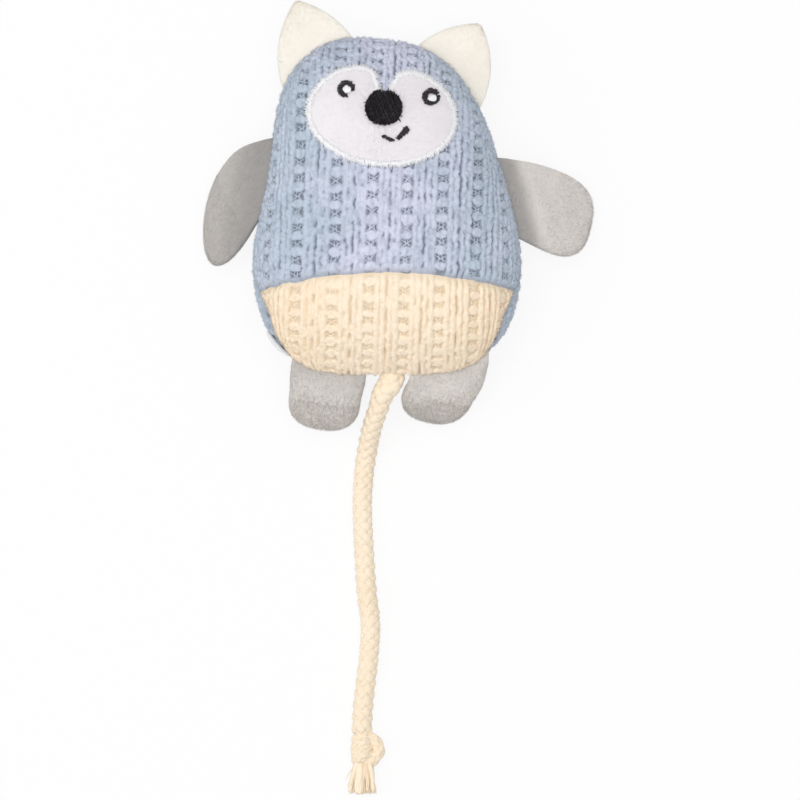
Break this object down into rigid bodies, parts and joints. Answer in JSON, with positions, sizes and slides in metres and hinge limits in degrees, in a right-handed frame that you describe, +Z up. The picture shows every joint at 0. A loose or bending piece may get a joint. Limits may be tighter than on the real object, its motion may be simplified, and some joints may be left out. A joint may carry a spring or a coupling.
{
  "type": "plush catnip toy",
  "caption": "Stuffed knit cat toy in the shape of a small animal, lying on its back, with an applique face, felt ears, plush arms and feet and a knotted rope tail. It holds catnip.",
  "frame": {"origin": "on the flat of the back that the toy lies on, under the middle of the body", "axes": "+Z up out of the face and belly, +Y towards the head, +X to the viewer's right when the face is seen"},
  "size_m": [0.1271, 0.2549, 0.0466],
  "materials": {
    "blue_knit": "soft chenille rib knit, pale blue",
    "blue_thread": "overlock thread, pale blue",
    "cream_knit": "soft chenille rib knit, cream",
    "grey_plush": "short-pile plush, warm grey",
    "cream_felt": "felt, off-white",
    "white_fleece": "short fleece, white",
    "white_thread": "satin-stitch embroidery thread, white",
    "black_thread": "satin-stitch embroidery thread, black",
    "white_satin": "blank woven satin tape, white",
    "cotton_rope": "braided cotton rope, natural",
    "fibre_fill": "polyester fibre filling",
    "muslin": "loose cotton muslin",
    "dried_herb": "dried crushed leaves"
  },
  "bodies": {
    "body": {"front_panel": "blue_knit", "belly_panel": "cream_knit", "back_panel": "blue_knit", "seam_thread": "blue_thread", "pouch_front": "muslin", "pouch_back": "muslin", "catnip": "dried_herb", "front_filling": "fibre_fill", "back_filling": "fibre_fill", "face_patch": "white_fleece", "face_border": "white_thread", "left_eye_ring": "black_thread", "left_eye_glint": "white_thread", "right_eye_ring": "black_thread", "right_eye_glint": "white_thread", "nose": "black_thread", "mouth_stitch": "black_thread", "cheek_stitch": "black_thread", "side_label": "white_satin"},
    "left_ear": {"left_ear": "cream_felt"},
    "right_ear": {"right_ear": "cream_felt"},
    "left_arm": {"left_arm_front": "grey_plush", "left_arm_back": "grey_plush"},
    "right_arm": {"right_arm_front": "grey_plush", "right_arm_back": "grey_plush"},
    "left_foot": {"left_foot_front": "grey_plush", "left_foot_back": "grey_plush"},
    "right_foot": {"right_foot_front": "grey_plush", "right_foot_back": "grey_plush"},
    "tail_base": {"tail_root": "cotton_rope"},
    "tail_tip": {"tail_rope": "cotton_rope", "tail_knot": "cotton_rope", "tail_tassel": "cotton_rope"}
  },
  "joints": [
    {"name": "left_ear_fold", "type": "hinge", "parent": "body", "child": "left_ear", "pos_m": [-0.02672, 0.04878, 0.02], "axis": [0.7683, 0.6401, 0], "range_deg": [-75, 75], "stiffness_Nm_per_rad": 0.004},
    {"name": "right_ear_fold", "type": "hinge", "parent": "body", "child": "right_ear", "pos_m": [0.02282, 0.04377, 0.02], "axis": [0.7046, -0.7096, 0], "range_deg": [-75, 75], "stiffness_Nm_per_rad": 0.004},
    {"name": "left_arm_flap", "type": "hinge", "parent": "body", "child": "left_arm", "pos_m": [-0.0396, 0.01203, 0.02], "axis": [0.1507, 0.9886, 0], "range_deg": [-3, 120], "stiffness_Nm_per_rad": 0.004},
    {"name": "right_arm_flap", "type": "hinge", "parent": "body", "child": "right_arm", "pos_m": [0.04042, 0.00403, 0.02], "axis": [0.2631, -0.9648, 0], "range_deg": [-3, 110], "stiffness_Nm_per_rad": 0.004},
    {"name": "left_foot_flap", "type": "hinge", "parent": "body", "child": "left_foot", "pos_m": [-0.01918, -0.05386, 0.02], "axis": [-0.9796, 0.2011, 0], "range_deg": [-12, 100], "stiffness_Nm_per_rad": 0.004},
    {"name": "right_foot_flap", "type": "hinge", "parent": "body", "child": "right_foot", "pos_m": [0.02046, -0.05366, 0.02], "axis": [-0.9696, -0.2446, 0], "range_deg": [-12, 100], "stiffness_Nm_per_rad": 0.004},
    {"name": "tail_lift", "type": "hinge", "parent": "body", "child": "tail_base", "pos_m": [0.0015, -0.05665, 0.02], "axis": [-1, 0, 0], "range_deg": [0, 90]},
    {"name": "tail_swing", "type": "hinge", "parent": "tail_base", "child": "tail_tip", "pos_m": [-0.0067, -0.0804, 0.00459], "axis": [0, 0, 1], "range_deg": [-60, 60]}
  ]
}
